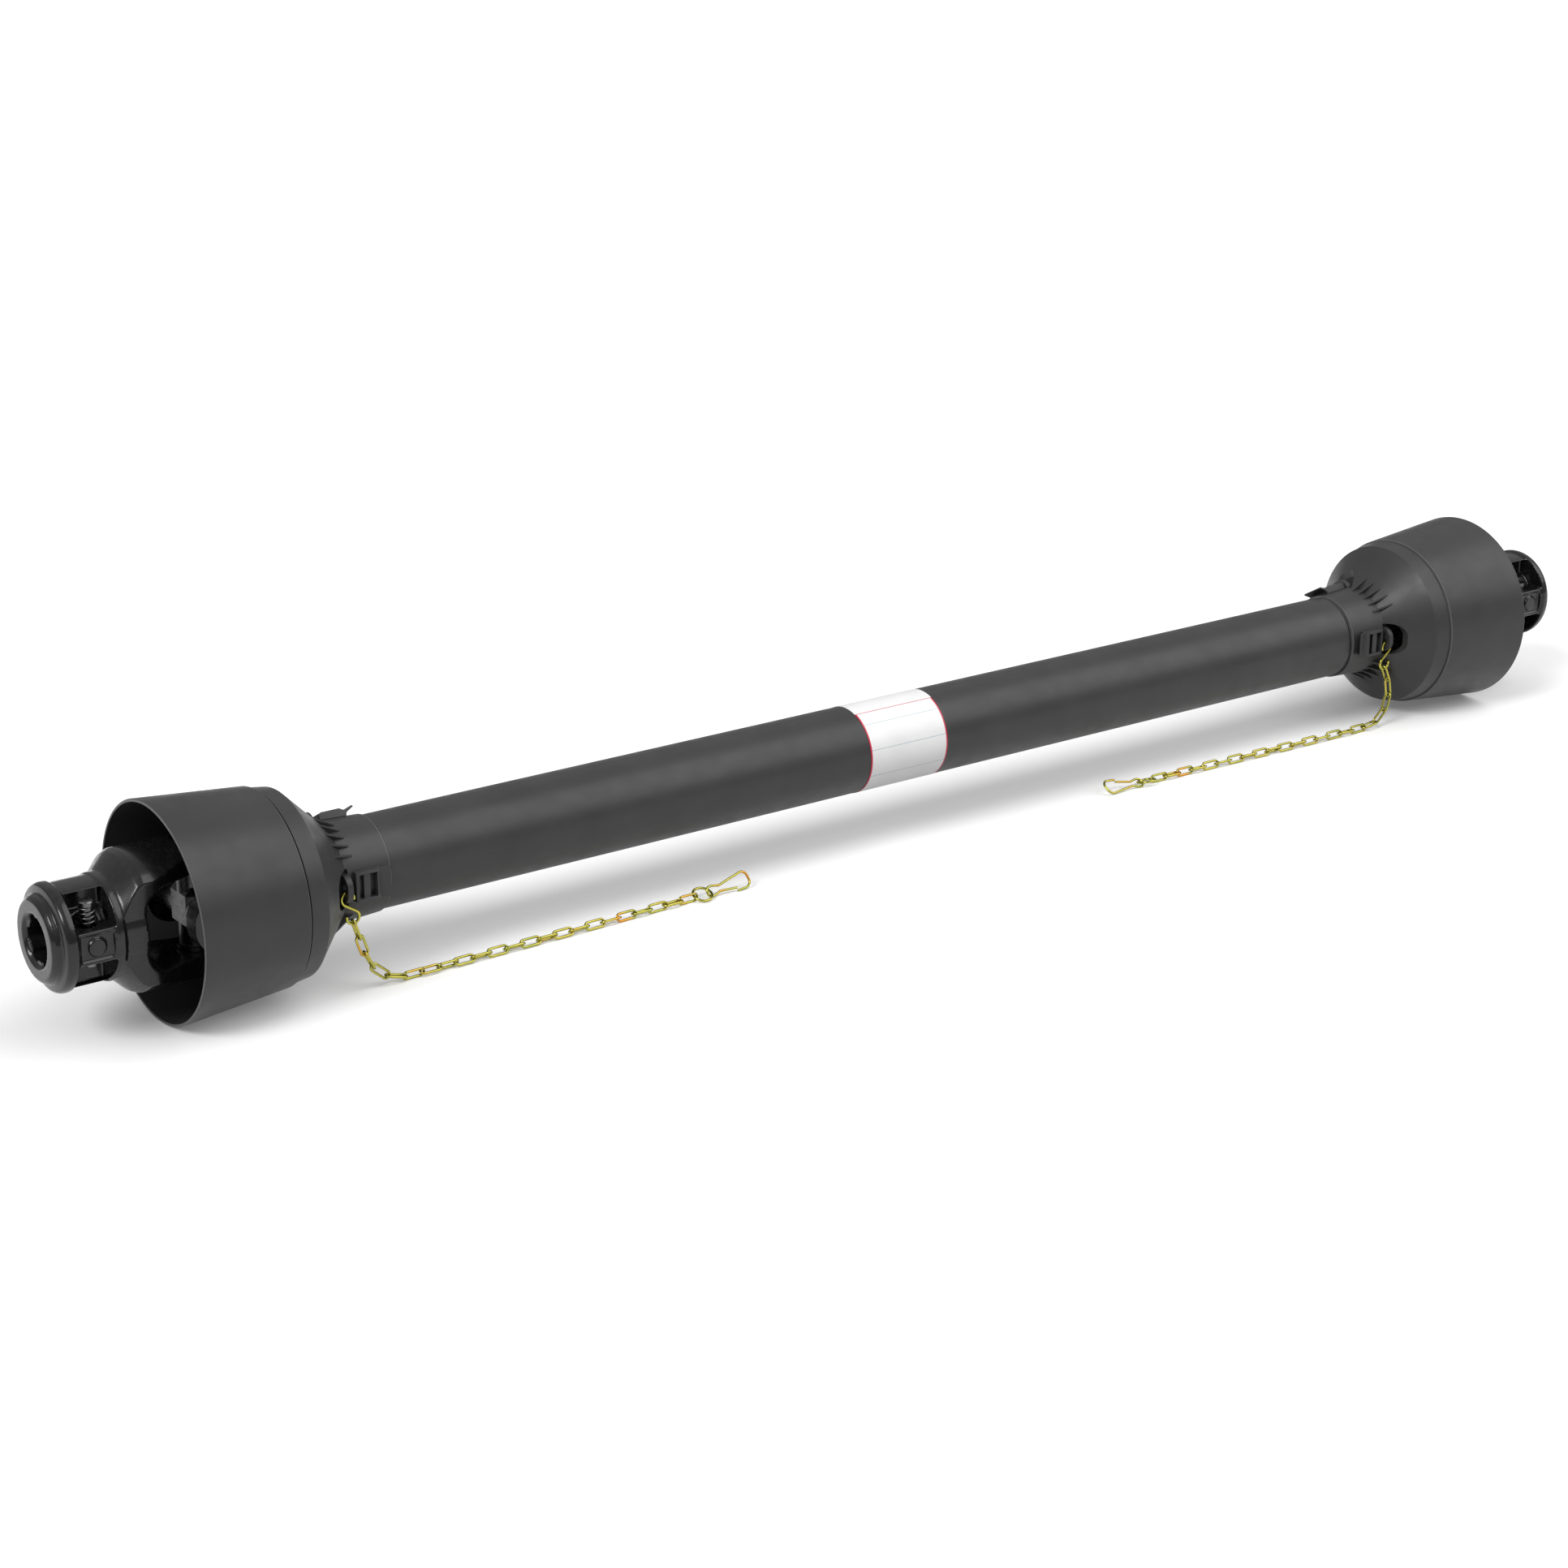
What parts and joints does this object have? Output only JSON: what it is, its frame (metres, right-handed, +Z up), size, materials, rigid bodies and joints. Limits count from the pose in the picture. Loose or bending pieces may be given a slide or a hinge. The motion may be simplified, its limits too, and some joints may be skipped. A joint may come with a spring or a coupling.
{
  "type": "pto drive shaft",
  "caption": "Telescopic tractor drive shaft with universal joints, quick-release splined yokes, a bell-ended plastic guard tube and restraining chains.",
  "frame": {"origin": "on the ground below the middle of the closed shaft, under its axis", "axes": "+X along the shaft from the end with the outer guard tube to the end with the inner one, +Z up"},
  "size_m": [1.435, 0.158, 0.158],
  "materials": {
    "guard_plastic": "satin moulded, fine grain",
    "guard_tube_plastic": "satin extruded",
    "yoke_paint": "gloss paint over cast steel",
    "tube_steel": "drawn, greased",
    "bare_steel": "ground",
    "zinc_steel": "bright zinc",
    "yellow_zinc": "yellow zinc passivated",
    "seal_rubber": "matt",
    "label_film": "printed film, bare of print"
  },
  "bodies": {
    "guard": {"near_bell": "guard_plastic", "near_guard_cone": "guard_plastic", "near_bearing_ring": "guard_plastic", "near_latches": "guard_plastic", "near_guard_tube": "guard_tube_plastic", "label": "label_film"},
    "far_guard": {"far_bell": "guard_plastic", "far_guard_cone": "guard_plastic", "far_bearing_ring": "guard_plastic", "far_latches": "guard_plastic", "far_guard_tube": "guard_tube_plastic"},
    "near_shaft": {"near_inner_yoke": "yoke_paint", "near_inner_yoke_caps": "bare_steel", "near_inner_yoke_circlips": "bare_steel", "near_roll_pin": "bare_steel", "near_profile_tube": "tube_steel"},
    "near_cross": {"near_cross": "bare_steel", "near_cross_seals": "seal_rubber", "near_grease_nipple": "zinc_steel"},
    "near_yoke": {"near_outer_yoke": "yoke_paint", "near_outer_yoke_caps": "bare_steel", "near_outer_yoke_circlips": "bare_steel", "near_lock_spring": "zinc_steel"},
    "near_lock": {"near_lock_pin": "zinc_steel", "near_lock_pin_clip": "zinc_steel"},
    "near_hanger": {"near_s_hook": "yellow_zinc", "near_chain_drop": "yellow_zinc"},
    "near_chain": {"near_chain_run": "yellow_zinc", "near_end_ring": "yellow_zinc"},
    "near_snap": {"near_snap_hook": "yellow_zinc"},
    "far_shaft": {"far_inner_yoke": "yoke_paint", "far_inner_yoke_caps": "bare_steel", "far_inner_yoke_circlips": "bare_steel", "far_roll_pin": "bare_steel", "far_profile_tube": "tube_steel"},
    "far_cross": {"far_cross": "bare_steel", "far_cross_seals": "seal_rubber", "far_grease_nipple": "zinc_steel"},
    "far_yoke": {"far_outer_yoke": "yoke_paint", "far_outer_yoke_caps": "bare_steel", "far_outer_yoke_circlips": "bare_steel", "far_lock_spring": "zinc_steel"},
    "far_lock": {"far_lock_pin": "zinc_steel", "far_lock_pin_clip": "zinc_steel"},
    "far_hanger": {"far_s_hook": "yellow_zinc", "far_chain_drop": "yellow_zinc"},
    "far_chain": {"far_chain_run": "yellow_zinc", "far_end_ring": "yellow_zinc"},
    "far_snap": {"far_snap_hook": "yellow_zinc"}
  },
  "joints": [
    {"name": "shaft_spin", "type": "hinge", "parent": "guard", "child": "near_shaft", "pos_m": [-0.6, 0, 0.079], "axis": [1, 0, 0], "continuous": true},
    {"name": "shaft_slide", "type": "slide", "parent": "near_shaft", "child": "far_shaft", "axis": [1, 0, 0], "range_m": [0, 0.36]},
    {"name": "guard_slide", "type": "slide", "parent": "guard", "child": "far_guard", "axis": [1, 0, 0], "range_m": [0, 0.36]},
    {"name": "near_cross_swing", "type": "hinge", "parent": "near_shaft", "child": "near_cross", "pos_m": [-0.6, 0, 0.079], "axis": [0, 1, 0], "range_deg": [-22, 22]},
    {"name": "near_yoke_swing", "type": "hinge", "parent": "near_cross", "child": "near_yoke", "pos_m": [-0.6, 0, 0.079], "axis": [0, 0, 1], "range_deg": [-22, 22]},
    {"name": "near_lock_push", "type": "slide", "parent": "near_yoke", "child": "near_lock", "axis": [0, 0, -1], "range_m": [0, 0.0075], "stiffness_N_per_m": 1500, "springref_m": -0.004, "deforming": ["near_lock_spring"]},
    {"name": "near_hanger_swing", "type": "hinge", "parent": "guard", "child": "near_hanger", "pos_m": [-0.5048, -0.0384, 0.07645], "axis": [-1, 0, 0], "range_deg": [0, 60]},
    {"name": "near_chain_swing", "type": "hinge", "parent": "near_hanger", "child": "near_chain", "pos_m": [-0.47492, -0.03553, 0.00713], "axis": [0, 0, 1], "range_deg": [-20, 20]},
    {"name": "near_snap_swing", "type": "hinge", "parent": "near_chain", "child": "near_snap", "pos_m": [-0.19579, -0.02988, 0.0045], "axis": [0, 0, 1], "range_deg": [-12, 12]},
    {"name": "far_cross_swing", "type": "hinge", "parent": "far_shaft", "child": "far_cross", "pos_m": [0.6, 0, 0.079], "axis": [0, 1, 0], "range_deg": [-22, 22]},
    {"name": "far_yoke_swing", "type": "hinge", "parent": "far_cross", "child": "far_yoke", "pos_m": [0.6, 0, 0.079], "axis": [0, 0, 1], "range_deg": [-22, 22]},
    {"name": "far_lock_push", "type": "slide", "parent": "far_yoke", "child": "far_lock", "axis": [0, 0, 1], "range_m": [0, 0.0075], "stiffness_N_per_m": 1500, "springref_m": -0.004, "deforming": ["far_lock_spring"]},
    {"name": "far_hanger_swing", "type": "hinge", "parent": "far_guard", "child": "far_hanger", "pos_m": [0.5048, -0.0384, 0.07645], "axis": [-1, 0, 0], "range_deg": [0, 60]},
    {"name": "far_chain_swing", "type": "hinge", "parent": "far_hanger", "child": "far_chain", "pos_m": [0.50821, -0.0369, 0.01493], "axis": [0, 0, 1], "range_deg": [-20, 20]},
    {"name": "far_snap_swing", "type": "hinge", "parent": "far_chain", "child": "far_snap", "pos_m": [0.23217, -0.03117, 0.0045], "axis": [0, 0, 1], "range_deg": [-12, 12]}
  ],
  "couplings": [
    {"joint": "guard_slide", "follows": "shaft_slide", "ratio": 1}
  ]
}
